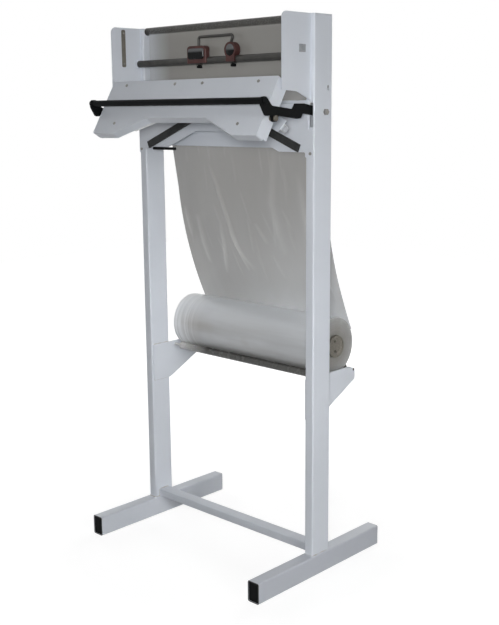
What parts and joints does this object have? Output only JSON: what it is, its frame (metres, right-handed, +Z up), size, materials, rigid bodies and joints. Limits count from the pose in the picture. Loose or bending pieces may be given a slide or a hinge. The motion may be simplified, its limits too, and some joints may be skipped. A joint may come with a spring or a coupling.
{
  "type": "impulse heat sealer",
  "caption": "Free-standing impulse sealer for garment film: a stand with a film roll, a hinged hooded jaw worked by a bar, sloping seal strips and a hanger carriage on a rail.",
  "frame": {"origin": "floor, in the middle under the stand", "axes": "+Z up, +X to the operator's right, -Y towards the operator"},
  "size_m": [0.887, 0.666, 1.9373],
  "materials": {
    "white_paint": "satin powder coat",
    "black_paint": "satin powder coat",
    "dark_steel": "satin dark grey",
    "black_plastic": "matt",
    "grey_plastic": "satin",
    "guide_plastic": "matt",
    "gloss_black": "gloss",
    "maroon_plastic": "gloss",
    "roller_black": "satin",
    "silicone": "matt",
    "aluminium": "milled",
    "band_steel": "bright",
    "release_tape": "coated glass cloth",
    "brass": "turned",
    "bronze": "sintered",
    "zinc_steel": "zinc plated",
    "core_board": "plain cardboard tube",
    "film_roll": "wound clear film",
    "film": "thin clear film",
    "core_steel": "varnished laminations",
    "copper_wire": "varnished winding",
    "board_green": "circuit board"
  },
  "bodies": {
    "stand": {"left_foot": "white_paint", "right_foot": "white_paint", "foot_caps": "black_plastic", "left_post": "white_paint", "right_post": "white_paint", "post_caps": "white_paint", "base_crossbar": "white_paint", "left_roll_bracket": "white_paint", "right_roll_bracket": "white_paint", "film_web": "film", "left_cheek": "white_paint", "right_cheek": "white_paint", "cheek_guides": "guide_plastic", "top_guide_bar": "dark_steel", "hook_rail": "dark_steel", "rail_sockets": "dark_steel", "rear_jaw_plate": "white_paint", "cross_plate": "white_paint", "silicone_strips": "silicone", "jaw_plate_screws": "zinc_steel", "edge_strip": "black_plastic", "pivot_bolts": "zinc_steel", "pivot_spacers": "zinc_steel", "return_springs": "zinc_steel", "spring_anchors": "zinc_steel", "switch_housing": "grey_plastic", "transformer_core": "core_steel", "transformer_coil": "copper_wire", "timer_board": "board_green", "closing_sensor": "brass", "sensor_bracket": "zinc_steel", "power_inlet": "black_plastic"},
    "jaw": {"handle_bar": "black_paint", "handle_end_caps": "black_plastic", "left_arm": "black_paint", "right_arm": "black_paint", "arm_bushes": "bronze", "spring_pins": "zinc_steel", "hood": "white_paint", "hood_screws": "zinc_steel", "hood_stays": "zinc_steel", "hood_bolts": "zinc_steel", "hood_spacers": "zinc_steel", "jaw_crossbar": "white_paint", "jaw_carrier": "white_paint", "heat_bars": "aluminium", "heating_bands": "band_steel", "release_tapes": "release_tape", "band_terminals": "brass"},
    "roll": {"roll_core": "core_board", "roll_film": "film_roll"},
    "front_roller": {"front_roller": "roller_black"},
    "rear_roller": {"rear_roller": "roller_black"},
    "carriage": {"hanger_block": "maroon_plastic", "hanger_boss": "maroon_plastic", "hanger_bail": "dark_steel", "carriage_faces": "gloss_black", "clamp_straps": "zinc_steel", "thumb_screws": "black_plastic"},
    "rocker": {"switch_rocker": "grey_plastic"}
  },
  "joints": [
    {"name": "jaw_hinge", "type": "hinge", "parent": "stand", "child": "jaw", "pos_m": [0, 0.011, 1.622], "axis": [1, 0, 0], "range_deg": [0, 33.3], "stiffness_Nm_per_rad": 15, "springref_deg": -85.94, "deforming": ["return_springs"]},
    {"name": "roll_spin", "type": "hinge", "parent": "stand", "child": "roll", "pos_m": [0, 0.152, 0.796], "axis": [1, 0, 0], "continuous": true},
    {"name": "front_roller_spin", "type": "hinge", "parent": "stand", "child": "front_roller", "pos_m": [0, 0.077, 0.70105], "axis": [1, 0, 0], "continuous": true},
    {"name": "rear_roller_spin", "type": "hinge", "parent": "stand", "child": "rear_roller", "pos_m": [0, 0.227, 0.70105], "axis": [1, 0, 0], "continuous": true},
    {"name": "carriage_slide", "type": "slide", "parent": "stand", "child": "carriage", "axis": [1, 0, 0], "range_m": [-0.2, 0.2]},
    {"name": "switch_rock", "type": "hinge", "parent": "stand", "child": "rocker", "pos_m": [0.416, -0.088, 1.823], "axis": [0, 0, 1], "range_deg": [0, 16]}
  ],
  "couplings": [
    {"joint": "front_roller_spin", "follows": "roll_spin", "ratio": -7.6214},
    {"joint": "rear_roller_spin", "follows": "roll_spin", "ratio": -7.6214}
  ]
}
